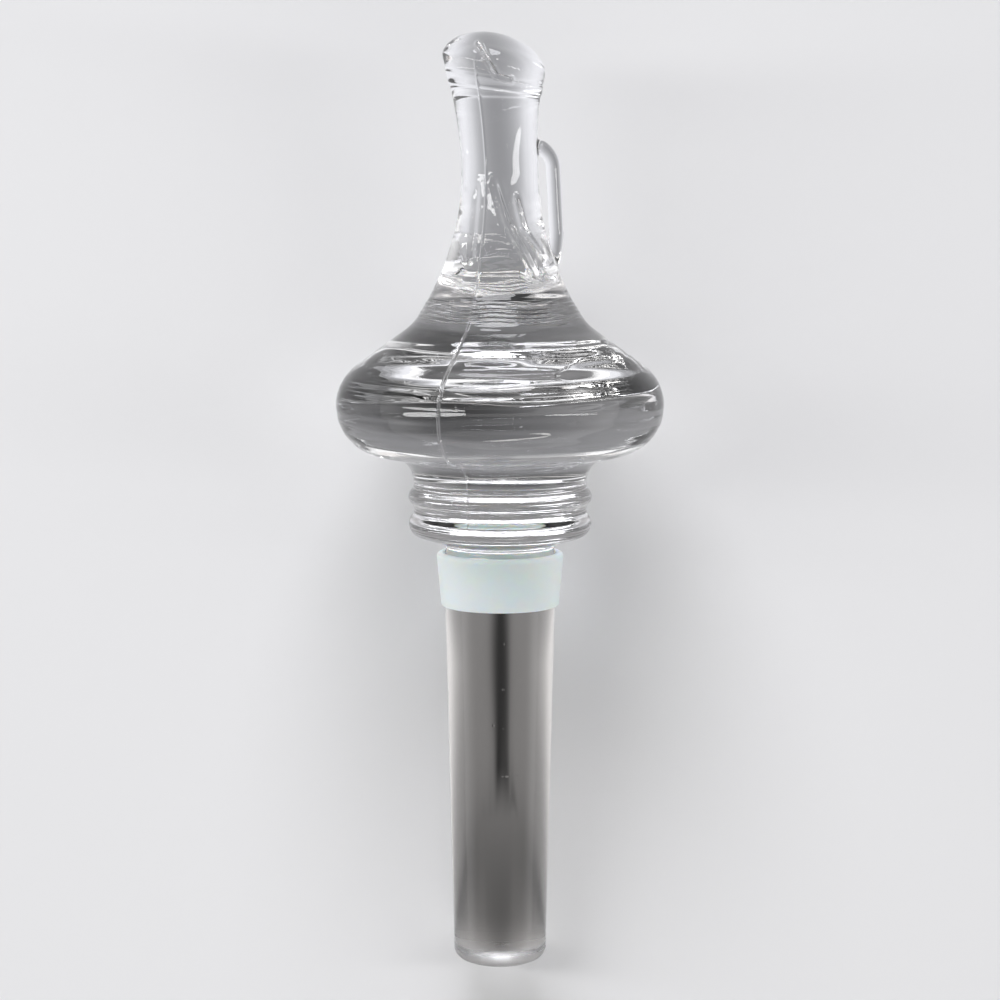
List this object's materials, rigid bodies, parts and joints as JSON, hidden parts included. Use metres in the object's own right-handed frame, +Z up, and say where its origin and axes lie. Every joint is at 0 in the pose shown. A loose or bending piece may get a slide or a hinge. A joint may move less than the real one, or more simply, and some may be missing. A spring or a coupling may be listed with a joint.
{
  "type": "glass stopper",
  "caption": "Clear solid glass bottle stopper with a jug-shaped finial, loop handle, ringed foot and a tapered shank that carries a translucent plastic sealing collar.",
  "frame": {"origin": "on the floor, below the middle of the lying stopper", "axes": "+Y towards the head, +Z up, +X towards the handle; the stopper lies on its tip and the rim of its bulb, so its axis rises 12 degrees towards +Y"},
  "size_m": [0.0492, 0.1388, 0.0484],
  "materials": {
    "clear_glass": "polished",
    "collar_plastic": "translucent satin"
  },
  "bodies": {
    "root": {"glass_stopper": "clear_glass", "sealing_collar": "collar_plastic"}
  },
  "joints": []
}
